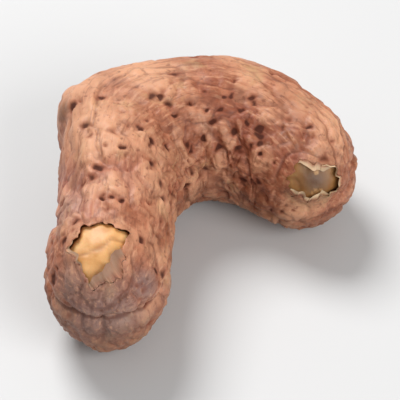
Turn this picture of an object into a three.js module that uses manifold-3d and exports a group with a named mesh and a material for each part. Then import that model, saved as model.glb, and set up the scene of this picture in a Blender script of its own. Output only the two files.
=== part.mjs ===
// A roasted cashew nut in its skin, lying on its side: a kidney-shaped kernel inside a thin papery skin
// that has flaked off in two places. Millimetres, +Z up, the floor is z = 0, and the long axis is X.
import * as THREE from "three";
import { ImprovedNoise } from "three/addons/math/ImprovedNoise.js";
import { mergeVertices } from "three/addons/utils/BufferGeometryUtils.js";
import Module from "manifold-3d";

const wasm = await Module();
wasm.setup();

// Driving dimensions
const skinThickness = 0.35; // the real skin is about half this, but a solid that thin is fragile
const gap = 0.3; // clear air between the skin and the kernel
const footDepth = 0.26; // how far the three low places are flattened, and the rest stands off the floor
const sectionPower = 2.15; // 2 is an ellipse, more is squarer
const capPower = 2.1; // roundness of the two ends
const seamDepth = 0.36; // the groove where the kernel's two halves meet
const seamWidth = 0.52; // half its width
const lipHeight = 0.12; // the low ridge along each side of that groove
const seamFade = { along: 0.6, reach: 0.3, share: 0.85 }; // nearly closed inside the bend
const pitCount = 150; // smaller pits sprinkled over the whole nut
const pitDepth = 0.34;
const wrinkleHeight = 0.28;
const wrinkleSize = 1.9;
const deepest = 0.2; // no pit or crease goes further into the skin than this
const tearLift = 0.22; // how far the skin stands up along a tear

// The nut's middle line from the big lobe's end to the small lobe's end, seen from above, with the half
// width on the outer and inner side of the curve and the half thickness above and below the seam.
const stations = [
  { x: -14.2, y: -9.2, outer: 4.6, inner: 4.6, above: 4.8, below: 6.7 },
  { x: -11.1, y: -4.4, outer: 4.8, inner: 4.8, above: 5.3, below: 6.6 },
  { x: -7.9, y: 0.5, outer: 4.3, inner: 4.8, above: 5.8, below: 6.4 },
  { x: -5.1, y: 4.1, outer: 4.6, inner: 4.8, above: 6.7, below: 6.2 },
  { x: -1.7, y: 6.0, outer: 7.6, inner: 4.7, above: 6.5, below: 6.0 },
  { x: 2.2, y: 6.1, outer: 6.6, inner: 4.6, above: 6.0, below: 5.9 },
  { x: 6.0, y: 4.0, outer: 5.6, inner: 4.6, above: 5.5, below: 5.7 },
  { x: 8.3, y: 0.4, outer: 4.7, inner: 4.6, above: 5.1, below: 5.4 },
  { x: 8.7, y: -5.7, outer: 4.3, inner: 4.3, above: 4.7, below: 5.0 },
];
// Fuller places of the bend: how far along, at what angle around, reach in millimetres and radians.
const swells = [
  { along: 0.45, around: 0.55, length: 3.0, spread: 0.6, share: 0.2 },
  { along: 0.78, around: 0.5, length: 4.0, spread: 0.7, share: 0.14 },
];
const bigCap = 5.6; // how far from its end each lobe starts to round off
const smallCap = 5.2;
const feet = [0.17, 0.5, 0.83]; // where along the line the nut touches the floor
const footReach = 0.11; // how far each foot reaches along the line

// Where the skin has flaked off: along is 0 at the big lobe's end and 1 at the small one's, around is
// 0 degrees on the outer curve, 90 on top and 180 on the inner curve.
const bareSpots = [
  { along: 0.085, around: 86, width: 4.7, height: 4.5, turn: 0.5, shift: 0.6 },
  { along: 0.98, around: 114, width: 3.9, height: 3.3, turn: 1.1, shift: 3.7 },
];
// The waves of a tear's ragged outline: how many go round, and how high, as a share of its size.
const raggedWaves = [
  [2, 0.11],
  [3, 0.09],
  [5, 0.07],
  [8, 0.06],
  [13, 0.045],
];

// The larger pits of the upper face, placed as above, with a radius in millimetres.
const facePits = [
  { along: 0.2, around: 92, radius: 0.6 },
  { along: 0.32, around: 130, radius: 0.55 },
  { along: 0.43, around: 108, radius: 0.65 },
  { along: 0.44, around: 140, radius: 0.5 },
  { along: 0.45, around: 46, radius: 0.75 },
  { along: 0.55, around: 104, radius: 0.5 },
  { along: 0.56, around: 124, radius: 0.6 },
  { along: 0.56, around: 162, radius: 0.45 },
  { along: 0.64, around: 112, radius: 0.5 },
  { along: 0.65, around: 154, radius: 0.55 },
  { along: 0.7, around: 164, radius: 0.5 },
  { along: 0.74, around: 102, radius: 0.5 },
  { along: 0.75, around: 140, radius: 0.6 },
  { along: 0.78, around: 158, radius: 0.5 },
  { along: 0.83, around: 128, radius: 0.9 },
  { along: 0.85, around: 98, radius: 0.5 },
  { along: 0.88, around: 134, radius: 0.55 },
];

// Mesh fineness
const outerGrid = { capRings: 11, middleRings: 50, sides: 54, crowding: 0.16 };
const innerGrid = { capRings: 7, middleRings: 26, sides: 28, crowding: 0.26 };
const tearPoints = 44;

const middleLine = new THREE.CatmullRomCurve3(
  stations.map((s) => new THREE.Vector3(s.x, s.y, 0)),
  false,
  "centripetal",
);
middleLine.arcLengthDivisions = 400;
const sideways = new THREE.CatmullRomCurve3(
  stations.map((s) => new THREE.Vector3(s.outer, s.inner, 0)),
);
const upwards = new THREE.CatmullRomCurve3(
  stations.map((s) => new THREE.Vector3(s.above, s.below, 0)),
);
const lineLength = middleLine.getLength();
const noise = new ImprovedNoise();

// Random numbers that are the same each time.
function seeded(seed) {
  let state = seed;
  return () => {
    state = (state * 16807) % 2147483647;
    return state / 2147483647;
  };
}

const bell = (distance, width) => Math.exp(-((distance / width) ** 2));
const superCos = (angle) =>
  Math.sign(Math.cos(angle)) * Math.abs(Math.cos(angle)) ** (2 / sectionPower);
const superSin = (angle) =>
  Math.sign(Math.sin(angle)) * Math.abs(Math.sin(angle)) ** (2 / sectionPower);

// How full the section is, a distance from a lobe's end that rounds off over a cap's length.
function capFullness(distance, cap) {
  const share = Math.min(1, Math.max(0, distance / cap));
  return (1 - (1 - share) ** capPower) ** (1 / capPower);
}

// How high the seam runs: the underside dips to the floor at the three feet and clears it between them.
function seamHeight(along, below) {
  const dip = Math.max(...feet.map((foot) => bell(along - foot, footReach)));
  return below + footDepth * (1 - 2 * dip);
}

// How much fuller than its stations the nut is at a place.
function swelling(distance, angle) {
  return swells.reduce((product, swell) => {
    const off = THREE.MathUtils.euclideanModulo(angle - swell.around + Math.PI, 2 * Math.PI) - Math.PI;
    const near = bell(distance - swell.along * lineLength, swell.length);
    return product * (1 + swell.share * near * bell(off, swell.spread));
  }, 1);
}

// The smooth body at a distance along the middle line and an angle around it, taken in by an inset.
function bodyPoint(distance, angle, inset) {
  const along = Math.min(1, Math.max(0, distance / lineLength));
  const t = middleLine.getUtoTmapping(along);
  const point = middleLine.getPoint(t);
  const tangent = middleLine.getTangent(t);
  const side = sideways.getPoint(t);
  const rise = upwards.getPoint(t);
  const full =
    capFullness(distance - inset, bigCap - inset) *
    capFullness(lineLength - inset - distance, smallCap - inset) *
    swelling(distance, angle);
  const outward = new THREE.Vector3(-tangent.y, tangent.x, 0).normalize();
  const reach = (Math.cos(angle) > 0 ? side.x : side.y) - inset;
  const lift = (Math.sin(angle) > 0 ? rise.x : rise.y) - inset;
  point.addScaledVector(outward, reach * full * superCos(angle));
  point.z = seamHeight(along, rise.y) + lift * full * superSin(angle);
  return point;
}

// The outward direction of the smooth body there.
function bodyNormal(distance, angle) {
  const step = 0.01;
  const here = Math.min(lineLength - 2 * step, Math.max(2 * step, distance));
  const before = bodyPoint(here - step, angle, 0);
  const after = bodyPoint(here + step, angle, 0);
  const lower = bodyPoint(here, angle - step, 0);
  const upper = bodyPoint(here, angle + step, 0);
  return upper.sub(lower).cross(after.sub(before)).normalize();
}

// The groove round the edge, with a low lip on each side, at a height over or under the seam.
function seamRelief(height, distance, angle) {
  const away = Math.abs(height);
  const inside = THREE.MathUtils.smoothstep(-Math.cos(angle), 0.2, 0.9);
  const closed = seamFade.share * inside * bell(distance / lineLength - seamFade.along, seamFade.reach);
  const lips = lipHeight * bell(away - 2.4 * seamWidth, seamWidth);
  return (1 - closed) * (lips - seamDepth * bell(away, seamWidth));
}

// Puffed wrinkles, a net of rounded swellings with creases between them.
function wrinkleRelief(point) {
  const { x, y, z } = point;
  const coarse = Math.abs(noise.noise(x / wrinkleSize, y / wrinkleSize, z / wrinkleSize));
  const fine = Math.abs(noise.noise((2 * x) / wrinkleSize, (2 * y) / wrinkleSize, 9 + z));
  return wrinkleHeight * (1.5 * coarse + 0.6 * fine - 0.25);
}

const pitRandom = seeded(11);
const sprinkledPits = Array.from({ length: pitCount }, () => ({
  along: 0.03 + 0.94 * pitRandom(),
  around: 360 * pitRandom(),
  radius: 0.45 + 0.3 * pitRandom() ** 2,
}));
const pits = [...facePits, ...sprinkledPits].map(({ along, around, radius }) => ({
  centre: bodyPoint(along * lineLength, THREE.MathUtils.degToRad(around), 0),
  radius,
}));
function pitRelief(point) {
  let nearest = 0;
  for (const { centre, radius } of pits) {
    nearest = Math.max(nearest, bell(point.distanceTo(centre), radius));
  }
  return -pitDepth * nearest;
}

// Each tear has a frame on the body: its middle, one way along it, one way across, and outwards.
const tears = bareSpots.map((spot) => {
  const distance = spot.along * lineLength;
  const angle = THREE.MathUtils.degToRad(spot.around);
  const middle = bodyPoint(distance, angle, 0);
  const outward = bodyNormal(distance, angle);
  const next = bodyPoint(distance + 0.1, angle, 0).sub(middle);
  const lengthways = next.addScaledVector(outward, -next.dot(outward)).normalize();
  lengthways.applyAxisAngle(outward, spot.turn);
  const across = outward.clone().cross(lengthways);
  return { ...spot, middle, outward, lengthways, across };
});

// A tear's outline in its own frame, 1 being a plain ellipse.
function tearReach(tear, turn) {
  return raggedWaves.reduce(
    (reach, [count, height]) => reach + height * Math.sin(count * (turn + tear.shift * count)),
    1,
  );
}

// The skin stands up a little along the edge of a tear.
function tearRelief(point) {
  let lift = 0;
  for (const tear of tears) {
    const offset = point.clone().sub(tear.middle);
    if (Math.abs(offset.dot(tear.outward)) > tear.height) continue;
    const x = offset.dot(tear.lengthways) / (tear.width / 2);
    const y = offset.dot(tear.across) / (tear.height / 2);
    const beyond = Math.hypot(x, y) / tearReach(tear, Math.atan2(y, x)) - 1;
    lift = Math.max(lift, tearLift * bell(beyond, 0.22));
  }
  return lift;
}

function skinRelief(point, distance, angle) {
  const { z: seamZ } = bodyPoint(distance, 0, 0);
  const clearOfFloor = THREE.MathUtils.smoothstep(point.z, 0.1, 0.7);
  const surface = Math.max(-deepest, wrinkleRelief(point) + pitRelief(point)) + tearRelief(point);
  return seamRelief(point.z - seamZ, distance, angle) + clearOfFloor * surface;
}

function kernelRelief(point, distance, angle) {
  const { z: seamZ } = bodyPoint(distance, 0, 0);
  return seamRelief(point.z - seamZ, distance, angle);
}

// The places of the rings: close together where an end rounds off.
function ringDistances({ capRings, middleRings }, inset) {
  const quarter = (i) => 1 - Math.cos((Math.PI / 2) * (i / capRings));
  const distances = [];
  for (let i = 1; i <= capRings; i++) distances.push(inset + (bigCap - inset) * quarter(i));
  const middle = lineLength - bigCap - smallCap;
  for (let i = 1; i < middleRings; i++) distances.push(bigCap + (middle * i) / middleRings);
  for (let i = capRings; i >= 1; i--) {
    distances.push(lineLength - inset - (smallCap - inset) * quarter(i));
  }
  return distances;
}

// A closed surface over the body: rings from one end to the other, and a point at each end.
function bodySolid(grid, inset, floor, reliefAt) {
  const positions = [];
  const place = (distance, angle) => {
    const point = bodyPoint(distance, angle, inset);
    const relief = reliefAt(bodyPoint(distance, angle, 0), distance, angle);
    point.addScaledVector(bodyNormal(distance, angle), relief);
    positions.push(point.x, point.y, Math.max(floor, point.z));
  };
  const rings = ringDistances(grid, inset);
  for (const distance of rings) {
    for (let i = 0; i < grid.sides; i++) {
      const angle = (2 * Math.PI * i) / grid.sides;
      place(distance, angle - grid.crowding * Math.sin(2 * angle));
    }
  }
  const firstTip = positions.length / 3;
  for (const distance of [inset, lineLength - inset]) place(distance, 0);
  const triangles = [];
  const last = (rings.length - 1) * grid.sides;
  for (let i = 0; i < grid.sides; i++) {
    const next = (i + 1) % grid.sides;
    triangles.push(firstTip, next, i, firstTip + 1, last + i, last + next);
    for (let row = 0; row < last; row += grid.sides) {
      const [a, b] = [row + i, row + next];
      const [c, d] = [a + grid.sides, b + grid.sides];
      triangles.push(a, b, d, a, d, c);
    }
  }
  return new wasm.Manifold(
    new wasm.Mesh({
      numProp: 3,
      vertProperties: new Float32Array(positions),
      triVerts: new Uint32Array(triangles),
    }),
  );
}

// A ragged plug that cuts one tear through the skin.
function tearPlug(tear) {
  const outline = [];
  for (let i = 0; i < tearPoints; i++) {
    const turn = (2 * Math.PI * i) / tearPoints;
    const reach = tearReach(tear, turn);
    outline.push(
      new THREE.Vector2(
        (tear.width / 2) * reach * Math.cos(turn),
        (tear.height / 2) * reach * Math.sin(turn),
      ),
    );
  }
  const [inwards, outwards] = [2.2, 1.6];
  const plug = new THREE.ExtrudeGeometry(new THREE.Shape(outline), {
    depth: inwards + outwards,
    bevelEnabled: false,
  });
  plug.translate(0, 0, -inwards);
  plug.applyMatrix4(
    new THREE.Matrix4()
      .makeBasis(tear.lengthways, tear.across, tear.outward)
      .setPosition(tear.middle),
  );
  plug.deleteAttribute("normal");
  plug.deleteAttribute("uv");
  const merged = mergeVertices(plug);
  return new wasm.Manifold(
    new wasm.Mesh({
      numProp: 3,
      vertProperties: new Float32Array(merged.attributes.position.array),
      triVerts: new Uint32Array(merged.index.array),
    }),
  );
}

function toMesh(name, solid, material, shift) {
  const { vertProperties, triVerts } = solid.getMesh();
  const geometry = new THREE.BufferGeometry();
  geometry.setAttribute("position", new THREE.BufferAttribute(vertProperties, 3));
  geometry.setIndex(new THREE.BufferAttribute(triVerts, 1));
  geometry.translate(shift.x, shift.y, 0);
  geometry.computeVertexNormals();
  const mesh = new THREE.Mesh(geometry, material);
  mesh.name = name;
  return mesh;
}

// The papery skin: the outer surface, hollowed, with the two bare places torn out of it.
const hollow = bodySolid(innerGrid, skinThickness, skinThickness, kernelRelief);
let skin = bodySolid(outerGrid, 0, 0, skinRelief).subtract(hollow);
for (const tear of tears) skin = skin.subtract(tearPlug(tear));

// The kernel follows the inside of the skin.
const kernelInset = skinThickness + gap;
const kernel = bodySolid(innerGrid, kernelInset, kernelInset, kernelRelief);

const skinMaterial = new THREE.MeshStandardMaterial({ color: 0xb27b60, roughness: 0.55 });
const kernelMaterial = new THREE.MeshStandardMaterial({ color: 0xdfb27a, roughness: 0.5 });

// The origin is on the floor under the middle of the whole nut.
const { min, max } = skin.boundingBox();
const shift = { x: -(min[0] + max[0]) / 2, y: -(min[1] + max[1]) / 2 };

const group = new THREE.Group();
group.add(toMesh("skin", skin, skinMaterial, shift));
group.add(toMesh("kernel", kernel, kernelMaterial, shift));
export default group;
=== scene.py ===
# A roasted cashew nut in its papery skin, torn at both ends, lying on its side on a pale table.
import math

import bmesh
import bpy
import numpy as np
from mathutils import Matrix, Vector, noise


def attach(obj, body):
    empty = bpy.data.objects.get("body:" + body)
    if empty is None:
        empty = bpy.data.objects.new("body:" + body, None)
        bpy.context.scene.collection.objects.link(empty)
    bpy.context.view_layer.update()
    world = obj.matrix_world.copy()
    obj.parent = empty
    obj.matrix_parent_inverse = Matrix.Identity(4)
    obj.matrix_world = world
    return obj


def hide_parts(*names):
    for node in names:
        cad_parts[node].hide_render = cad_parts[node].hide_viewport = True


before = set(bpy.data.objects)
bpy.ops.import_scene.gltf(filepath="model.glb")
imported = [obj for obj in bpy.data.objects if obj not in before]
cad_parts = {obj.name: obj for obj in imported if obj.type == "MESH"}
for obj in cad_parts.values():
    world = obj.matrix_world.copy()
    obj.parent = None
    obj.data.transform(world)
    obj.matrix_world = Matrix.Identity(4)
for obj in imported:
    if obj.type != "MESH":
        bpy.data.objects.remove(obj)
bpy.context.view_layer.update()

mm = 0.001

# The nut's form in millimetres. The middle line runs from the big lobe's end to the small lobe's.
nutForm = {
    "line": [(-14.2, -9.2), (-11.1, -4.4), (-7.9, 0.5), (-5.1, 4.1), (-1.7, 6.0), (2.2, 6.1),
             (6.0, 4.0), (8.3, 0.4), (8.7, -5.7)],
    "widths": [(4.6, 4.6), (4.8, 4.8), (4.3, 4.8), (4.6, 4.8), (7.6, 4.7), (6.6, 4.6),
               (5.6, 4.6), (4.7, 4.6), (4.3, 4.3)],  # outer and inner side of the bend
    "heights": [(4.8, 6.7), (5.3, 6.6), (5.8, 6.4), (6.7, 6.2), (6.5, 6.0), (6.0, 5.9),
                (5.5, 5.7), (5.1, 5.4), (4.7, 5.0)],  # above and below the seam
    "bigCap": 5.6,  # how far from its end each lobe starts to round off
    "smallCap": 5.2,
    "sectionPower": 2.15,  # 2 is an ellipse, more is squarer
    "capPower": 2.1,
    # fuller places of the bend: how far along, angle, reach along and around, share
    "swells": [(0.45, 0.55, 3.0, 0.6, 0.2), (0.78, 0.5, 4.0, 0.7, 0.14)],
    "feet": (0.17, 0.5, 0.83),  # where along the line the nut touches the table
    "footReach": 0.11,
    "footDepth": 0.26,
    "seamDepth": 0.36,
    "seamWidth": 0.52,
    "lipHeight": 0.12,
    "lipAway": 2.4,  # in seam widths
    # the seam is nearly closed inside the bend, and shallower round the small lobe's tip
    "fadeAlong": 0.6,
    "fadeReach": 0.3,
    "fadeShare": 0.85,
    "fadeInside": (0.2, 0.9),
    "tipFade": 0.6,
    "tipReach": 4,
    "samples": 401,
    "toOrigin": (1.4177, -2.0067),  # brings the middle of the whole nut over the origin
}


def bell(distance, width):
    return np.exp(-(distance / width) ** 2)


def smoothRamp(value, low, high):
    share = np.clip((value - low) / (high - low), 0, 1)
    return share * share * (3 - 2 * share)


def turnFrom(middle, angle):
    # at most half a turn either way
    return (angle - middle + math.pi) % (2 * math.pi) - math.pi


tiny = 1e-4  # the least gap between knots, and the step that finds the line's direction


def curveThrough(points, t):
    # a smooth curve through the points, evenly tense however far apart they are
    points = np.array(points, float)
    points = np.vstack([2 * points[0] - points[1], points, 2 * points[-1] - points[-2]])
    place = np.clip(t, 0, 1) * (len(points) - 3)
    index = np.clip(np.floor(place).astype(int), 0, len(points) - 4)
    w = (place - index)[:, None]
    a, b, c, d = (points[index + i] for i in range(4))

    def knot(p, q):
        return (((q - p) ** 2).sum(1) ** 0.25)[:, None]

    ab, bc, cd = knot(a, b), knot(b, c), knot(c, d)
    bc = np.where(bc < tiny, 1.0, bc)
    ab = np.where(ab < tiny, bc, ab)
    cd = np.where(cd < tiny, bc, cd)
    leaving = ((b - a) / ab - (c - a) / (ab + bc) + (c - b) / bc) * bc
    arriving = ((c - b) / bc - (d - b) / (bc + cd) + (d - c) / cd) * bc
    squared = -3 * b + 3 * c - 2 * leaving - arriving
    cubed = 2 * b - 2 * c + leaving + arriving
    return b + leaving * w + squared * w ** 2 + cubed * w ** 3


lineSteps = np.linspace(0, 1, nutForm["samples"])
lineSamples = curveThrough(nutForm["line"], lineSteps)
lineGaps = np.linalg.norm(np.diff(lineSamples, axis=0), axis=1)
lineReach = np.concatenate([[0], np.cumsum(lineGaps)])
lineLength = lineReach[-1]


def capFullness(distance, cap):
    share = np.clip(distance / cap, 0, 1)
    power = nutForm["capPower"]
    return (1 - (1 - share) ** power) ** (1 / power)


def seamHeight(distance, below):
    along = distance / lineLength
    dip = np.max([bell(along - foot, nutForm["footReach"]) for foot in nutForm["feet"]], axis=0)
    return below + nutForm["footDepth"] * (1 - 2 * dip)


def bodyPoint(distance, angle, inset=0.0):
    # angle 0 is the outer side of the bend, a quarter turn is the top, a half turn the inner side
    t = np.interp(distance, lineReach, lineSteps)
    centre = curveThrough(nutForm["line"], t)
    ahead, back = np.clip(t + tiny, 0, 1), np.clip(t - tiny, 0, 1)
    tangent = curveThrough(nutForm["line"], ahead) - curveThrough(nutForm["line"], back)
    tangent /= np.linalg.norm(tangent, axis=1)[:, None]
    widths = curveThrough(nutForm["widths"], t)
    heights = curveThrough(nutForm["heights"], t)
    full = capFullness(distance - inset, nutForm["bigCap"] - inset)
    full = full * capFullness(lineLength - inset - distance, nutForm["smallCap"] - inset)
    for along, turn, reachAlong, reachAround, share in nutForm["swells"]:
        near = bell(distance - along * lineLength, reachAlong)
        full = full * (1 + share * near * bell(turnFrom(turn, angle), reachAround))
    power = 2 / nutForm["sectionPower"]
    sideways = np.sign(np.cos(angle)) * np.abs(np.cos(angle)) ** power
    upwards = np.sign(np.sin(angle)) * np.abs(np.sin(angle)) ** power
    reach = np.where(np.cos(angle) > 0, widths[:, 0], widths[:, 1]) - inset
    lift = np.where(np.sin(angle) > 0, heights[:, 0], heights[:, 1]) - inset
    seam = seamHeight(distance, heights[:, 1])
    return np.column_stack([
        centre[:, 0] - tangent[:, 1] * reach * full * sideways + nutForm["toOrigin"][0],
        centre[:, 1] + tangent[:, 0] * reach * full * sideways + nutForm["toOrigin"][1],
        seam + lift * full * upwards,
    ])


def bodyNormal(distance, angle):
    step = 0.01
    here = np.clip(distance, 2 * step, lineLength - 2 * step)
    lengthways = bodyPoint(here + step, angle) - bodyPoint(here - step, angle)
    around = bodyPoint(here, angle + step) - bodyPoint(here, angle - step)
    outward = np.cross(around, lengthways)
    return outward / np.linalg.norm(outward, axis=1)[:, None]


def grain(points, size, slide=0.0):
    # smooth noise from -1 to 1 with swells about as wide as size, in millimetres
    spots = points / size + slide
    return np.array([noise.noise(spot) for spot in spots.tolist()])


def drift(points, size, slides):
    # three such noises, which push places about
    return np.column_stack([grain(points, size, slide) for slide in slides])


# The torn places, with the same outlines as in the solid model.
tearForm = {
    "spots": [
        {"along": 0.085, "around": 86, "width": 4.7, "height": 4.5, "turn": 0.5, "shift": 0.6},
        {"along": 0.98, "around": 114, "width": 3.9, "height": 3.3, "turn": 1.1, "shift": 3.7},
    ],
    "step": 0.1,  # along the nut, to find each tear's own directions
    # waves of the ragged outlines: how many go round, and how high as a share of the tear's size
    "waves": [(2, 0.11), (3, 0.09), (5, 0.07), (8, 0.06), (13, 0.045)],
    "fineWaves": [(21, 0.024), (34, 0.014)],
    "broadWaves": 3,  # the skin's lift and folds follow only so many of the waves
    "lift": 0.18,
    "liftReach": 0.2,
    "edgeReach": 0.3,  # places this close to a tear's outline belong to its edge
    "taut": (0.05, 0.6),  # the wrinkles are flatter near a tear
    "tautShare": 0.6,
    # loose skin that stands up from a tear's edge: its middle and spread round the tear in degrees,
    # its length, its lean at first and at last, and how pale its film is
    "curls": [
        {"tear": 0, "middle": 190, "spread": 58, "length": 1.6, "lean": (2, 60), "pale": 0.15},
        {"tear": 0, "middle": 75, "spread": 40, "length": 0.45, "lean": (15, 50), "pale": 0.3},
        {"tear": 1, "middle": 350, "spread": 75, "length": 0.9, "lean": (15, 120), "pale": 1.0},
        {"tear": 1, "middle": 250, "spread": 60, "length": 0.8, "lean": (10, 70), "pale": 0.9},
        {"tear": 1, "middle": 75, "spread": 45, "length": 0.7, "lean": (0, 40), "pale": 0.6},
    ],
    "curlSteps": 8,
    "curlSmooth": 6,  # so many times, by this factor
    "curlFactor": 0.5,
    "curlRound": 0.75,  # how roundly a curl's length falls off to its ends
    "curlWaves": [(6, 0.14, 4), (15, 0.07, 0)],  # how many go round, height, shift by tear
    "curlLeast": 0.02,  # of its length, where a curl ends
    "curlTwist": (5, 0.25),  # waves of its lean: how many go round, and how far they tilt it
    # creases in the skin that follow a tear's edge: how far beyond it, and where round the tear
    "folds": [
        {"tear": 0, "beyond": 0.42, "middle": 190, "spread": 62},
        {"tear": 1, "beyond": 0.45, "middle": 120, "spread": 50},
    ],
    "foldWave": (3, 0.06),
    "foldWidth": 0.06,
    "foldDepth": 0.2,
    "tuckBack": 0.3,  # how far the torn edge turns back and down under the skin
    "tuckDown": 0.45,
}
far = 9.0  # stands for a place that no tear is near


def tearFrames():
    frames = []
    for spot in tearForm["spots"]:
        distance = np.array([spot["along"] * lineLength])
        angle = np.array([math.radians(spot["around"])])
        middle = bodyPoint(distance, angle)[0]
        outward = bodyNormal(distance, angle)[0]
        lengthways = bodyPoint(distance + tearForm["step"], angle)[0] - middle
        lengthways -= outward * lengthways.dot(outward)
        lengthways /= np.linalg.norm(lengthways)
        across = np.cross(outward, lengthways)
        c, s = math.cos(spot["turn"]), math.sin(spot["turn"])
        frames.append({**spot, "middle": middle, "outward": outward,
                       "lengthways": lengthways * c + across * s,
                       "across": across * c - lengthways * s})
    return frames


tears = tearFrames()


def tearReach(tear, turn, waves):
    shift = tear["shift"]
    return 1 + sum(height * np.sin(count * (turn + shift * count)) for count, height in waves)


def tearPlace(tear, points, waves):
    # where points are in a tear's own frame: the direction from its middle, and how far beyond
    # its edge, as a share of its size (negative in the hole)
    offset = points - tear["middle"]
    x = offset @ tear["lengthways"] / (tear["width"] / 2)
    y = offset @ tear["across"] / (tear["height"] / 2)
    turn = np.arctan2(y, x)
    beyond = np.hypot(x, y) / tearReach(tear, turn, waves) - 1
    beyond[np.abs(offset @ tear["outward"]) > tear["height"]] = far
    return turn, beyond


def seamOpen(distance, angle):
    # 1 where the seam shows fully, less along the inner side of the bend and round the tip
    inside = smoothRamp(-np.cos(angle), *nutForm["fadeInside"])
    faded = bell(distance / lineLength - nutForm["fadeAlong"], nutForm["fadeReach"])
    tip = nutForm["tipFade"] * bell(lineLength - distance, nutForm["tipReach"])
    return (1 - nutForm["fadeShare"] * inside * faded) * (1 - tip)


def seamRelief(height, distance, angle):
    # the groove round the edge, with a low lip on each side
    away, width = np.abs(height), nutForm["seamWidth"]
    relief = nutForm["lipHeight"] * bell(away - nutForm["lipAway"] * width, width)
    relief = relief - nutForm["seamDepth"] * bell(away, width)
    return relief * seamOpen(distance, angle)


# Pits of the roasted skin: the larger ones of the upper face by place, the rest sprinkled.
pitForm = {
    # along, degrees around, radius
    "face": [(0.22, 85, 0.4), (0.22, 93, 0.5), (0.215, 101, 0.4), (0.3, 74, 0.45),
             (0.33, 129, 0.5), (0.345, 98, 0.4), (0.42, 108, 0.6), (0.44, 140, 0.45),
             (0.446, 42, 0.8), (0.544, 96, 0.5), (0.546, 120, 0.55), (0.56, 154, 0.45),
             (0.61, 112, 0.4), (0.635, 148, 0.5), (0.65, 120, 0.4), (0.67, 132, 0.5),
             (0.685, 156, 0.5), (0.69, 118, 0.45), (0.7, 104, 0.4), (0.715, 100, 0.5),
             (0.74, 135, 0.5), (0.745, 112, 0.4), (0.758, 95, 0.5), (0.765, 149, 0.5),
             (0.77, 122, 0.4), (0.77, 98, 0.4), (0.807, 119, 0.55), (0.817, 125, 0.6),
             (0.83, 131, 0.4), (0.86, 140, 0.4)],
    # how many, and the least and the spread of the place along, the radius and the strength
    "sprinkled": {"count": 150, "seed": 11, "along": (0.03, 0.94), "radius": (0.45, 0.3),
                  "strength": (0.35, 0.65)},
    "fine": {"count": 420, "seed": 77, "along": (0.02, 0.96), "radius": (0.2, 0.2),
             "strength": (0.2, 0.5)},
    "depth": 0.3,
    "steepness": 0.72,
    "raggedness": 0.32,
    "ragged": (0.6, (21.0, 25.0, 29.0)),  # size and slides of that noise
}


def sprinkle(count, seed):
    # random numbers that are the same each time
    factor, limit = 16807, 2147483647
    state, numbers = seed, []
    for _ in range(count):
        state = state * factor % limit
        numbers.append(state / limit)
    return numbers


def pitList():
    pits = [(*pit, 1.0) for pit in pitForm["face"]]
    for kind in (pitForm["sprinkled"], pitForm["fine"]):
        along, radius, strength = kind["along"], kind["radius"], kind["strength"]
        draw = sprinkle(3 * kind["count"], kind["seed"])
        for i in range(kind["count"]):
            a, b, c = draw[3 * i:3 * i + 3]
            pits.append((along[0] + along[1] * a, 360 * b, radius[0] + radius[1] * c * c,
                         strength[0] + strength[1] * (7 * c % 1)))
    return np.array(pits)


def pitDepths(base):
    # how deep in a pit each place lies, from 0 to 1
    pits, pit = pitList(), np.zeros(len(base))
    centres = bodyPoint(pits[:, 0] * lineLength, np.radians(pits[:, 1]))
    ragged = base + pitForm["raggedness"] * drift(base, *pitForm["ragged"])
    for centre, radius, strength in zip(centres, pits[:, 2], pits[:, 3]):
        away = np.sqrt(((ragged - centre) ** 2).sum(1))
        pit = np.maximum(pit, strength * bell(away, pitForm["steepness"] * radius))
    return pit


# A fold of loose skin along the outer side of the bend, with a crease beside it.
ridgeForm = {
    "line": [(0.29, 78, 0), (0.34, 73, 0.35), (0.39, 68, 0.7), (0.43, 60, 0.9), (0.5, 62, 0.8),
             (0.56, 60, 0.4), (0.66, 55, 0.15), (0.75, 54, 0.5), (0.83, 51, 0.9), (0.88, 50, 1),
             (0.94, 54, 1), (0.98, 64, 0.5), (1, 70, 0)],  # along, degrees around, strength
    "height": 0.12,
    "width": 0.2,
    "radius": 5.5,  # turns an angle round the nut into millimetres
    "wander": [(0.5, 1.4, 40.0), (0.15, 0.5, 43.0)],  # height, size and slide of its waves
    "breaks": {"share": 0.45, "size": 1.1, "slide": 47.0, "from": -0.25, "to": 0.15},
    "creaseOff": 0.36,
    "creaseWidth": 0.8,  # of the fold's width
    "creaseDepth": 0.15,
    "creaseCrosses": (0.58, 0.7),
}


def ridgeMarks(distance, angle, straight):
    along, places = distance / lineLength, np.array(ridgeForm["line"])
    strength = np.interp(along, places[:, 0], places[:, 2])
    middle = np.radians(np.interp(along, places[:, 0], places[:, 1]))
    off = (angle - middle) * ridgeForm["radius"]
    for height, size, slide in ridgeForm["wander"]:
        off = off + height * grain(straight, size, slide)
    breaks = ridgeForm["breaks"]
    whole = grain(straight, breaks["size"], breaks["slide"])
    whole = smoothRamp(whole, breaks["from"], breaks["to"])
    strength = strength * ((1 - breaks["share"]) + breaks["share"] * whole)
    # the crease lies on the face's side over the big lobe, and beyond the fold over the small one
    beside = off - ridgeForm["creaseOff"] * np.interp(along, ridgeForm["creaseCrosses"], (1, -1))
    width = ridgeForm["width"]
    return strength * bell(off, width), strength * bell(beside, ridgeForm["creaseWidth"] * width)


def ringDistances(share, inset):
    # from 0 at one pole to 1 at the other, with rings closer where the ends round off
    capShare = 0.19

    def rounded(part):
        return 1 - np.cos(np.pi / 2 * np.clip(part / capShare, 0, 1))

    big, small = nutForm["bigCap"], nutForm["smallCap"]
    first = inset + (big - inset) * rounded(share)
    last = lineLength - inset - (small - inset) * rounded(1 - share)
    middle = big + (lineLength - big - small) * ((share - capShare) / (1 - 2 * capShare))
    return np.where(share < capShare, first, np.where(share > 1 - capShare, last, middle))


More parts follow.
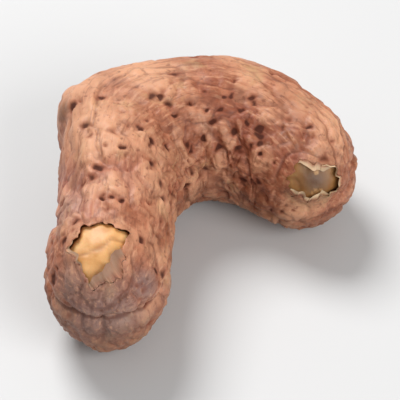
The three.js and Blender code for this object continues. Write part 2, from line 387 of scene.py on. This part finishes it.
def nutSphere(sides, rings, inset, crowding):
    # a sphere whose places become a distance along the nut and an angle around it
    bm = bmesh.new()
    bmesh.ops.create_uvsphere(bm, u_segments=sides, v_segments=rings, radius=1)
    ball = np.array([v.co[:] for v in bm.verts])
    share = np.arccos(np.clip(ball[:, 2], -1, 1)) / np.pi
    angle = -np.arctan2(ball[:, 1], ball[:, 0])
    angle = angle - crowding * np.sin(2 * angle)
    distance = ringDistances(share, inset)
    return bm, distance, angle


def placeVerts(bm, points):
    for vert, point in zip(bm.verts, points.tolist()):
        vert.co = point


def keepAttribute(bm, name, values):
    layer = bm.verts.layers.float.new(name)
    for vert, value in zip(bm.verts, values.tolist()):
        vert[layer] = value


def finishPiece(name, bm, material, smooth=True):
    for vert in bm.verts:
        vert.co *= mm
    mesh = bpy.data.meshes.new(name)
    bm.to_mesh(mesh)
    bm.free()
    mesh.materials.append(material)
    if smooth:
        mesh.shade_smooth()
    piece = bpy.data.objects.new(name, mesh)
    bpy.context.collection.objects.link(piece)
    return piece


# The skin.
skinForm = {
    "sides": 300,
    "rings": 300,
    "crowding": 0.1,  # the places lie closer together along the seam
    "straightRadius": 5.0,
    # size and slide of each noise
    "wanders": (1.3, (3.1, 7.7, 12.3)),
    "puffs": (6.0, 9.0),
    "folds": (2.4, 1.0),
    "fineFolds": (1.0, 5.0),
    "flakes": (3.2, 15.0),
    "swells": (4.2, 2.0),
    "peels": (0.5, 4.0),
    "wander": 0.5,  # how far the folds wander off
    "puff": (0.8, 0.9),  # middle and spread of how puffed up the folds are
    "puffLimits": (0.25, 1.5),
    "foldStretch": (0.62, 1, 1),  # less than 1 draws the folds out along the nut
    "foldHeight": 0.14,
    "foldWidth": 0.32,
    "foldMiddle": 1.2,
    "fineFoldStretch": (0.8, 1, 1),
    "fineFoldHeight": 0.075,
    "fineFoldWidth": 0.3,
    "fineFoldMiddle": 0.6,
    "fineFoldLeast": 0.5,  # fine folds are left where the skin isn't puffed up
    "creaseWidth": 0.1,
    "fineCreaseShade": 0.6,
    "deepCreaseShade": 1.6,
    "flakeHeight": 0.06,
    "flakeSteps": [(0.12, 0.17, 1), (0.34, 0.38, 1), (-0.2, -0.25, -1)],  # from, to, up or down
    "swellHeight": 0.11,
    "peelHeight": 0.035,
    "deepest": 0.26,
    "restsBelow": (0.1, 0.7),  # smooth down here, where the nut rests
    "edge": 0.12,  # thickness that shows along a tear
    # the marks that the colours follow
    "raisedHighlightRange": 0.4,
    "layerStep": 0.25,
    "undersideShadeReach": 1.6,
    "seamGrooveShadeShare": 0.5,
}

# Where the roasting has tinted the skin, and where painted highlight lightens it: along, degrees
# around, radius, strength.
tintForm = {
    "rosy": [(0.75, 126, 3.2, 1.0), (0.6, 140, 2.6, 0.4), (0.88, 110, 4.2, 0.95),
             (0.6, 270, 4.0, 0.6)],
    "flush": [(0.27, 20, 4.2, 1.0), (0.2, 70, 2.6, 0.6), (0.27, 98, 3.0, 0.55),
              (0.12, 190, 2.5, 0.5), (0.8, 330, 4.0, 0.7)],
    # painted highlight on the upper outer shoulder and top rim, and one pale patch low on the inner
    # side
    "highlightAndPale": [(0.4, 66, 4.0, 0.9), (0.49, 45, 3.0, 1.0), (0.57, 64, 3.4, 0.9),
                 (0.9, 56, 2.2, 0.6), (0.3, 250, 4.0, 0.6)],
    "ashen": [(0.03, 40, 2.8, 0.8), (0.22, 48, 2.2, 0.6), (0.0, 250, 4.2, 1.0),
              (0.05, 150, 1.8, 0.9)],
    "scorched": [(0.985, 114, 2.5, 0.8), (0.45, 30, 1.2, 0.9)],
}


def straightened(distance, angle):
    # the nut's surface as if it were pulled straight, so that folds can run lengthways
    radius = skinForm["straightRadius"] * capFullness(distance, nutForm["bigCap"])
    radius = radius * capFullness(lineLength - distance, nutForm["smallCap"])
    return np.column_stack([distance, radius * np.cos(angle), radius * np.sin(angle)])


def tearMarks(base):
    # how the skin lifts and folds round the tears, and how far away the nearest tear's edge is
    waves = tearForm["waves"][:tearForm["broadWaves"]]
    places = [tearPlace(tear, base, waves) for tear in tears]
    lift, nearest = np.zeros(len(base)), np.full(len(base), far)
    for _, beyond in places:
        lift = np.maximum(lift, tearForm["lift"] * bell(beyond, tearForm["liftReach"]))
        nearest = np.minimum(nearest, beyond)
    folded = np.zeros(len(base))
    count, height = tearForm["foldWave"]
    for fold in tearForm["folds"]:
        turn, beyond = places[fold["tear"]]
        off = turnFrom(math.radians(fold["middle"]), turn)
        line = bell(beyond - fold["beyond"] - height * np.sin(count * turn), tearForm["foldWidth"])
        folded = np.maximum(folded, line * bell(off, math.radians(fold["spread"])))
    return lift, folded, nearest


def tint(base, spots):
    # how strongly the spots tint each place
    spots = np.array(spots)
    centres = bodyPoint(spots[:, 0] * lineLength, np.radians(spots[:, 1]))
    return np.max([strength * bell(np.linalg.norm(base - centre, axis=1), radius)
                   for centre, radius, strength in zip(centres, spots[:, 2], spots[:, 3])], axis=0)


def skinSurface(distance, angle):
    form = skinForm
    base = bodyPoint(distance, angle)
    outward = bodyNormal(distance, angle)
    height = base[:, 2] - bodyPoint(distance, np.zeros_like(angle))[:, 2]
    straight = straightened(distance, angle)
    wander = straight + form["wander"] * drift(straight, *form["wanders"])

    middle, spread = form["puff"]
    puffiness = middle + spread * grain(straight, *form["puffs"])
    puffiness = np.clip(puffiness, *form["puffLimits"])
    folds = np.abs(grain(wander * form["foldStretch"], *form["folds"]))
    fineFolds = np.abs(grain(wander * form["fineFoldStretch"], *form["fineFolds"]))
    flake = grain(wander, *form["flakes"])
    layers = sum(way * smoothRamp(flake, low, high) for low, high, way in form["flakeSteps"])
    broad = 2 * smoothRamp(folds, 0, form["foldWidth"]) - form["foldMiddle"]
    fine = smoothRamp(fineFolds, 0, form["fineFoldWidth"]) - form["fineFoldMiddle"]
    wrinkle = form["foldHeight"] * puffiness * broad
    wrinkle += form["fineFoldHeight"] * fine * (form["fineFoldLeast"] + puffiness)
    wrinkle += form["flakeHeight"] * layers
    wrinkle += form["swellHeight"] * grain(base, *form["swells"])
    wrinkle += form["peelHeight"] * grain(wander, *form["peels"])
    # painted shade in the creases between the folds and fine folds, and along the tear folds and
    # the ridge's crease
    darkToneAndCreaseShade = puffiness * (1 - smoothRamp(folds, 0, form["creaseWidth"]))
    darkToneAndCreaseShade += form["fineCreaseShade"] * (1 - smoothRamp(fineFolds, 0, form["creaseWidth"]))

    pit = pitDepths(base)
    lift, tearFold, nearest = tearMarks(base)
    ridge, ridgeCrease = ridgeMarks(distance, angle, straight)
    darkToneAndCreaseShade = np.maximum(darkToneAndCreaseShade, form["deepCreaseShade"] * np.maximum(tearFold, ridgeCrease))
    wrinkle += ridgeForm["height"] * ridge - ridgeForm["creaseDepth"] * ridgeCrease
    surface = wrinkle - pitForm["depth"] * pit - tearForm["foldDepth"] * tearFold
    surface = np.maximum(-form["deepest"], surface)
    slack, share = smoothRamp(nearest, *tearForm["taut"]), tearForm["tautShare"]
    surface = surface * ((1 - share) + share * slack)
    clear = smoothRamp(base[:, 2], *form["restsBelow"])
    relief = seamRelief(height, distance, angle) + clear * (surface + lift)
    points = base + outward * relief[:, None]
    points[:, 2] = np.maximum(points[:, 2], 0)
    seamGrooveShadeWidth = form["seamGrooveShadeShare"] * nutForm["seamWidth"]
    marks = {
        "pit": pit,
        "darkToneAndCreaseShade": np.clip(darkToneAndCreaseShade, 0, 1),
        "ridge": ridge,
        # painted highlight: the raised places of the relief are paler
        "raisedHighlight": np.clip(0.5 + surface / form["raisedHighlightRange"], 0, 1),
        # the raised flake layers are paler: partly their own paler tone, partly painted highlight
        "layer": np.clip(0.5 + form["layerStep"] * layers, 0, 1),
        # painted shade on the underside: darker further below the seam
        "undersideShade": smoothRamp(-height, 0.0, form["undersideShadeReach"]),
        # painted shade along the seam groove, fading where the seam closes
        "seamGrooveShade": bell(height, seamGrooveShadeWidth) * seamOpen(distance, angle),
        "film": np.zeros(len(base)),
        "paleFilm": np.zeros(len(base)),
        **{name: tint(base, spots) for name, spots in tintForm.items()},
    }
    return points, marks


def openTears(base, points, marks):
    # marks the places near a tear, and draws those just inside its hole out to the hole's edge
    inside = np.zeros(len(base), bool)
    marks["turn"] = np.zeros(len(base))
    marks["whichTear"] = np.zeros(len(base))
    for index, tear in enumerate(tears):
        turn, beyond = tearPlace(tear, base, tearForm["waves"] + tearForm["fineWaves"])
        near = np.abs(beyond) < tearForm["edgeReach"]
        marks["turn"][near] = turn[near]
        marks["whichTear"][near] = index
        drawn = (beyond < 0) & near
        offset = base - tear["middle"]
        offset = offset - np.outer(offset @ tear["outward"], tear["outward"])
        points[drawn] += offset[drawn] * (1 / (1 + beyond[drawn]) - 1)[:, None]
        inside |= beyond < 0
    return inside


def inwardOf(tear, turn):
    toEdge = tear["lengthways"] * (math.cos(turn) * tear["width"])
    toEdge = toEdge + tear["across"] * (math.sin(turn) * tear["height"])
    return -toEdge / np.linalg.norm(toEdge)


def grow(bm, edges, move):
    # pulls a strip out of the edges; move gives each new place its step
    whichTear, turnAt = (bm.verts.layers.float[name] for name in ("whichTear", "turn"))
    grown = bmesh.ops.extrude_edge_only(bm, edges=edges)["geom"]
    for vert in [g for g in grown if isinstance(g, bmesh.types.BMVert)]:
        vert.co += Vector(move(vert, tears[round(vert[whichTear])], vert[turnAt]))
    return [g for g in grown if isinstance(g, bmesh.types.BMEdge) and g.is_boundary]


def growCurl(bm, rim, curl):
    # loose skin that stands up from a part of a tear's rim
    names = ("whichTear", "turn", "film", "paleFilm")
    whichTear, turnAt, film, paleFilm = (bm.verts.layers.float[name] for name in names)
    middle, spread = math.radians(curl["middle"]), math.radians(curl["spread"])
    over = Vector(inwardOf(tears[curl["tear"]], middle))
    steps = tearForm["curlSteps"]

    def share(turn):
        # how much of the curl's length stands up here
        ragged = 1
        for count, height, shift in tearForm["curlWaves"]:
            ragged += height * math.sin(count * turn + shift * curl["tear"])
        off = min(1, abs(turnFrom(middle, turn)) / spread)
        return max(0.0, math.cos(off * math.pi / 2)) ** tearForm["curlRound"] * ragged

    edges = [e for e in rim if all(round(v[whichTear]) == curl["tear"]
                                   and share(v[turnAt]) > tearForm["curlLeast"] for v in e.verts)]
    loose = set()
    for step in range(steps):
        first, last = curl["lean"]
        lean = math.radians(first + (last - first) * (step + 0.5) / steps)

        def move(vert, tear, turn):
            vert[film] = (step + 1) / steps
            vert[paleFilm] = curl["pale"]
            size = curl["length"] / steps * share(turn)
            count, twist = tearForm["curlTwist"]
            tilt = lean + twist * math.sin(count * turn)
            return (over * math.cos(tilt) + Vector(tear["outward"]) * math.sin(tilt)) * size

        edges = grow(bm, edges, move)
        if step:
            edges = [e for e in edges if not any(len(v.link_faces) > 2 for v in e.verts)]
        loose.update(v for e in edges for v in e.verts)
    for _ in range(tearForm["curlSmooth"]):
        bmesh.ops.smooth_vert(bm, verts=list(loose), factor=tearForm["curlFactor"],
                              use_axis_x=True, use_axis_y=True, use_axis_z=True)


def makeSkin(material):
    form = skinForm
    bm, distance, angle = nutSphere(form["sides"], form["rings"], 0, form["crowding"])
    points, marks = skinSurface(distance, angle)
    inside = openTears(bodyPoint(distance, angle), points, marks)
    placeVerts(bm, points)
    for name, values in marks.items():
        keepAttribute(bm, name, values)
    straight = bm.verts.layers.float_vector.new("straight")
    for vert, place in zip(bm.verts, straightened(distance, angle).tolist()):
        vert[straight] = place
    bm.verts.ensure_lookup_table()
    hole = [f for f in bm.faces if all(inside[v.index] for v in f.verts)]
    bmesh.ops.delete(bm, geom=hole, context="FACES")

    # the torn edge shows its thickness, then turns back under the skin
    rim = [e for e in bm.edges if e.is_boundary]
    tucked = grow(bm, rim, lambda vert, tear, turn: -tear["outward"] * form["edge"])
    grow(bm, tucked, lambda vert, tear, turn: (-inwardOf(tear, turn) * tearForm["tuckBack"]
                                               - tear["outward"] * tearForm["tuckDown"]))
    for curl in tearForm["curls"]:
        growCurl(bm, rim, curl)
    return finishPiece("nutSkin", bm, material)


# The kernel.
kernelForm = {
    "sides": 200,
    "rings": 200,
    "crowding": 0.1,
    "inset": 0.5,  # below the skin's outer side
    "floor": 0.3,
    "showing": 0.38,  # how much fuller it is in a tear
    "showReach": 0.35,
    "hidden": 0.12,  # how much lower it is under the skin
    "rough": [(0.12, 2.2, 6.0), (0.05, 0.8, 8.0), (0.015, 0.35, 2.0)],  # height, size, slide
    "crackWander": (0.4, 1.2, 1.0),
    "cracks": (2.6, 3.0),  # size, slide
    "crackDepth": 0.06,
    "crackWidth": 0.07,
    "crackShade": 0.08,
    "scorchReach": 2.2,
}


def makeKernel(material):
    form = kernelForm
    bm, distance, angle = nutSphere(form["sides"], form["rings"], form["inset"], form["crowding"])
    base = bodyPoint(distance, angle, form["inset"])
    placeVerts(bm, base)
    bm.normal_update()
    outward = np.array([v.normal[:] for v in bm.verts])
    if (outward * bodyNormal(distance, angle)).sum() < 0:
        outward = -outward
    seam = bodyPoint(distance, np.zeros_like(angle))[:, 2]
    outer = base + outward * form["inset"]
    showing = np.zeros(len(base))
    for tear in tears:
        _, beyond = tearPlace(tear, outer, tearForm["waves"])
        showing = np.maximum(showing, 1 - smoothRamp(beyond, 0.0, form["showReach"]))
    relief = seamRelief(outer[:, 2] - seam, distance, angle)
    relief += form["showing"] * showing
    rough = sum(height * grain(base, size, slide) for height, size, slide in form["rough"])
    relief += rough * showing - form["hidden"] * (1 - showing)
    height, size, slide = form["crackWander"]
    wander = base + height * grain(base, size, slide)[:, None]
    crack = np.abs(grain(wander, *form["cracks"]))
    relief -= form["crackDepth"] * (1 - smoothRamp(crack, 0, form["crackWidth"]))
    points = base + outward * relief[:, None]
    points[:, 2] = np.maximum(points[:, 2], form["floor"])
    placeVerts(bm, points)
    keepAttribute(bm, "crack", 1 - smoothRamp(crack, 0, form["crackShade"]))
    toTip = np.linalg.norm(outer - tears[1]["middle"], axis=1)
    keepAttribute(bm, "scorched", bell(toTip, form["scorchReach"]))
    return finishPiece("nutKernel", bm, material)


def linear(code):
    # an sRGB colour as the linear one that shaders take
    parts = [int(code[i:i + 2], 16) / 255 for i in (1, 3, 5)]
    parts = [p / 12.92 if p <= 0.04045 else ((p + 0.055) / 1.055) ** 2.4 for p in parts]
    return (*parts, 1.0)


def addNode(tree, kind, settings=None, links=None):
    node = tree.nodes.new(kind)
    for name, value in (settings or {}).items():
        if isinstance(name, str) and hasattr(node, name):
            setattr(node, name, value)
        else:
            node.inputs[name].default_value = value
    for name, source in (links or {}).items():
        tree.links.new(source, node.inputs[name])
    return node


def newMaterial(name):
    material = bpy.data.materials.new(name)
    material.use_nodes = True
    material.node_tree.nodes.clear()
    return material, material.node_tree


def markOf(tree, name, output="Fac"):
    return addNode(tree, "ShaderNodeAttribute", {"attribute_name": name}).outputs[output]


def noiseOf(tree, place, size, settings):
    return addNode(tree, "ShaderNodeTexNoise", {"Scale": 1 / size, **settings},
                   {"Vector": place}).outputs["Fac"]


def blendColours(tree, share, first, second):
    # a colour is a hex code or another node's output
    settings, links = {"data_type": "RGBA"}, {0: share}
    for slot, colour in ((6, first), (7, second)):
        if isinstance(colour, str):
            settings[slot] = linear(colour)
        else:
            links[slot] = colour
    return addNode(tree, "ShaderNodeMix", settings, links).outputs[2]


# Roasted cashew skin: a thin, dry, slightly waxy seed skin, tan to rose brown, with dark scorched
# pits and a soft broad sheen. Painted shade darkens its creases, seam groove and underside and
# deepens its pits; painted highlight pales its raised places and upper shoulder.
skinLook = {
    "pale": "#d29c79",
    "tan": "#a86a4e",
    "brown": "#8b5136",
    "rosy": "#7e3d27",
    "flush": "#a4655c",
    "olive": "#a98a60",
    "undersideShade": "#6a4431",
    "scorched": "#63402a",
    "darkToneAndCreaseShade": "#57291a",
    # the dark tone of the skin's own streaks and flecks, also used as painted shade in the creases
    # and seam groove
    "pit": "#421a0d",
    "ashen": "#7e6660",
    "film": "#8c6551",
    "paleFilm": "#d9bf9a",
    # size, detail and roughness of each noise
    "noises": {"patches": (5.0, 3, 0.55), "olives": (2.6, 5, 0.6), "mottles": (1.3, 7, 0.66),
               "flecks": (0.5, 4, 0.6), "fibres": (0.2, 4, 0.65)},
    # streaks run along the nut, on the places of the straightened surface
    "streakSize": 0.32,
    "streakStretch": (0.16, 1, 1),
    "streaks": {"Detail": 4, "Roughness": 0.6, "Distortion": 0.3},
    "mottled": (0.38, 0.62),
    # layers from the first to the last: noise or mark, where it starts and is full, share, colour
    "layers": [
        ("patches", 0.5, 0.7, 0.7, "pale"),
        ("olives", 0.54, 0.68, 0.5, "olive"),
        ("olives", 0.46, 0.32, 0.5, "rosy"),
        # painted highlight on the upper shoulder and top rim, with one pale patch
        ("highlightAndPale", 0, 1, 0.75, "pale"),
        ("rosy", 0.1, 1, 0.75, "rosy"),
        ("flush", 0.1, 1, 0.6, "flush"),
        # raised flake layers paler, partly their own tone and partly painted highlight
        ("layer", 0.4, 0.8, 0.3, "pale"),
        # painted highlight on the raised places
        ("raisedHighlight", 0.55, 1.0, 0.35, "pale"),
        ("ashen", 0.1, 1, 0.8, "ashen"),
        ("streaks", 0.52, 0.68, 0.4, "pale"),
        ("streaks", 0.46, 0.32, 0.4, "darkToneAndCreaseShade"),
        ("flecks", 0.58, 0.7, 0.5, "darkToneAndCreaseShade"),
        # painted shade on the underside below the seam
        ("undersideShade", 0, 1, 0.42, "undersideShade"),
        ("scorched", 0.1, 1, 0.75, "scorched"),
        # painted shade in the creases
        ("darkToneAndCreaseShade", 0.2, 1, 0.45, "darkToneAndCreaseShade"),
        # painted shade in the seam groove
        ("seamGrooveShade", 0.2, 1, 0.7, "darkToneAndCreaseShade"),
        # painted highlight along the crest of the fold
        ("ridge", 0.35, 0.95, 0.4, "pale"),
        # the pits' own dark red-brown, deepened by painted shade in their hollows
        ("pit", 0.05, 0.45, 0.5, "rosy"),
        ("pit", 0.3, 0.75, 0.93, "pit"),
    ],
    "loose": (0.05, 0.6, 0, 0.85),
    "bumpStrength": 0.5,
    "streakBump": 0.07,
    "fibreBump": 0.06,
    "roughness": (0.3, 0.7, 0.6, 0.44),
    "pitRoughness": (0.2, 0.6, 0, 0.4),
    "surface": {"IOR": 1.45, "Specular IOR Level": 0.38, "Subsurface Weight": 0.06,
                "Subsurface Scale": 0.6 * mm},
}


def makeSkinMaterial():
    material, tree = newMaterial("roastedNutSkin")
    look = skinLook
    place = addNode(tree, "ShaderNodeTexCoord").outputs["Object"]

    def between(source, low, high, toLow=0.0, toHigh=1.0):
        return addNode(tree, "ShaderNodeMapRange",
                       {"interpolation_type": "SMOOTHSTEP", "From Min": low, "From Max": high,
                        "To Min": toLow, "To Max": toHigh}, {"Value": source}).outputs["Result"]

    noises = {name: noiseOf(tree, place, size * mm, {"Detail": detail, "Roughness": rough})
              for name, (size, detail, rough) in look["noises"].items()}
    drawnOut = addNode(tree, "ShaderNodeVectorMath",
                       {"operation": "MULTIPLY", 1: look["streakStretch"]},
                       {0: markOf(tree, "straight", "Vector")}).outputs["Vector"]
    noises["streaks"] = noiseOf(tree, drawnOut, look["streakSize"], look["streaks"])

    mottled = between(noises["mottles"], *look["mottled"])
    colour = blendColours(tree, mottled, look["brown"], look["tan"])
    for name, low, high, share, tone in look["layers"]:
        source = noises[name] if name in noises else markOf(tree, name)
        colour = blendColours(tree, between(source, low, high, 0, share), colour, look[tone])
    loose = blendColours(tree, markOf(tree, "paleFilm"), look["film"], look["paleFilm"])
    colour = blendColours(tree, between(markOf(tree, "film"), *look["loose"]), colour, loose)

    drawn = addNode(tree, "ShaderNodeBump",
                    {"Strength": look["bumpStrength"], "Distance": look["streakBump"] * mm},
                    {"Height": noises["streaks"]})
    bump = addNode(tree, "ShaderNodeBump",
                   {"Strength": look["bumpStrength"], "Distance": look["fibreBump"] * mm},
                   {"Height": noises["fibres"], "Normal": drawn.outputs["Normal"]})
    # the scorched pits are dry and dull
    dull = addNode(tree, "ShaderNodeMath", {"operation": "ADD", "use_clamp": True},
                   {0: between(noises["mottles"], *look["roughness"]),
                    1: between(markOf(tree, "pit"), *look["pitRoughness"])})
    surface = addNode(tree, "ShaderNodeBsdfPrincipled", look["surface"],
                      {"Base Color": colour, "Normal": bump.outputs["Normal"],
                       "Roughness": dull.outputs["Value"]})
    addNode(tree, "ShaderNodeOutputMaterial", {}, {"Surface": surface.outputs["BSDF"]})
    return material


# Roasted cashew kernel: dense, oily and pale gold, darker in its fine cracks.
kernelLook = {
    "pale": "#d9a66c",
    "gold": "#c0864a",
    "crackDark": "#8f5a2c",
    "scorched": "#5c3919",
    "patchSize": 1.5,
    "grainSize": 0.3,
    "detail": 4,
    "patched": {"From Min": 0.35, "From Max": 0.65},
    "cracked": {"To Max": 0.6},
    "blotched": {"From Min": 0.66, "From Max": 0.54},
    "bumpStrength": 0.4,
    "grainBump": 0.05,
    "surface": {"IOR": 1.47, "Roughness": 0.46, "Subsurface Weight": 0.15,
                "Subsurface Scale": 1.0 * mm},
}


def makeKernelMaterial():
    material, tree = newMaterial("roastedNutKernel")
    look = kernelLook
    place = addNode(tree, "ShaderNodeTexCoord").outputs["Object"]

    def ranged(source, settings):
        return addNode(tree, "ShaderNodeMapRange", settings, {"Value": source}).outputs["Result"]

    patches, fine = (noiseOf(tree, place, look[size] * mm, {"Detail": look["detail"]})
                     for size in ("patchSize", "grainSize"))
    cracked = ranged(markOf(tree, "crack"), look["cracked"])
    colour = blendColours(tree, ranged(patches, look["patched"]), look["gold"], look["pale"])
    colour = blendColours(tree, cracked, colour, look["crackDark"])
    share = addNode(tree, "ShaderNodeMath", {"operation": "MULTIPLY"},
                    {0: markOf(tree, "scorched"), 1: ranged(patches, look["blotched"])})
    colour = blendColours(tree, share.outputs["Value"], colour, look["scorched"])
    bump = addNode(tree, "ShaderNodeBump",
                   {"Strength": look["bumpStrength"], "Distance": look["grainBump"] * mm},
                   {"Height": fine})
    surface = addNode(tree, "ShaderNodeBsdfPrincipled", look["surface"],
                      {"Base Color": colour, "Normal": bump.outputs["Normal"]})
    addNode(tree, "ShaderNodeOutputMaterial", {}, {"Surface": surface.outputs["BSDF"]})
    return material


skin = makeSkin(makeSkinMaterial())
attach(skin, "root")
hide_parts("skin")
print("skin made:", len(skin.data.polygons), "faces")

kernel = makeKernel(makeKernelMaterial())
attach(kernel, "root")
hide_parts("kernel")
print("kernel made:", len(kernel.data.polygons), "faces")

# The table, the light and the camera, in millimetres and watts.
studio = {
    "table": "#c3c3c3",
    "tableSize": 2000,
    "tableRoughness": 0.6,
    "azimuth": -30,
    "elevation": 45,
    "lens": 300,
    "distance": 270,
    "sees": (10, 10000),  # from the nearest to the farthest
    "target": (1.5, -1.6, 4.6),
    "key": {"at": (-10, 190, 265), "size": 170, "power": 1.18},
    "fill": {"at": (60, -260, 170), "size": 240, "power": 0.78},
    "world": 0.36,
    "worldColour": "#ffffff",
}


def makeTable():
    bm = bmesh.new()
    bmesh.ops.create_grid(bm, x_segments=1, y_segments=1, size=studio["tableSize"])
    material, tree = newMaterial("paleTable")
    look = {"Base Color": linear(studio["table"]), "Roughness": studio["tableRoughness"]}
    surface = addNode(tree, "ShaderNodeBsdfPrincipled", look)
    addNode(tree, "ShaderNodeOutputMaterial", {}, {"Surface": surface.outputs["BSDF"]})
    return finishPiece("table", bm, material, smooth=False)


def makeLights(middle):
    world = bpy.data.worlds.new("softRoom")
    bpy.context.scene.world = world
    world.use_nodes = True
    background = world.node_tree.nodes["Background"].inputs
    background["Color"].default_value = linear(studio["worldColour"])
    background["Strength"].default_value = studio["world"]
    for name in ("key", "fill"):
        lamp = bpy.data.lights.new(name + "Light", "AREA")
        lamp.shape = "DISK"
        lamp.size = studio[name]["size"] * mm
        lamp.energy = studio[name]["power"]
        light = bpy.data.objects.new(name + "Light", lamp)
        light.location = Vector(studio[name]["at"]) * mm
        light.rotation_euler = (middle - light.location).to_track_quat("-Z", "Y").to_euler()
        bpy.context.collection.objects.link(light)


def makeCamera(middle):
    azimuth, elevation = math.radians(studio["azimuth"]), math.radians(studio["elevation"])
    level = math.cos(elevation)
    looking = Vector((-math.sin(azimuth) * level, math.cos(azimuth) * level, -math.sin(elevation)))
    view = bpy.data.cameras.new("camera")
    view.lens = studio["lens"]
    view.clip_start, view.clip_end = (limit * mm for limit in studio["sees"])
    camera = bpy.data.objects.new("camera", view)
    camera.location = middle - looking * studio["distance"] * mm
    camera.rotation_euler = looking.to_track_quat("-Z", "Y").to_euler()
    bpy.context.collection.objects.link(camera)
    bpy.context.scene.camera = camera
    bpy.context.scene.view_settings.view_transform = "Standard"


table = makeTable()
makeLights(Vector(studio["target"]) * mm)
makeCamera(Vector(studio["target"]) * mm)
print("table, light and camera made")
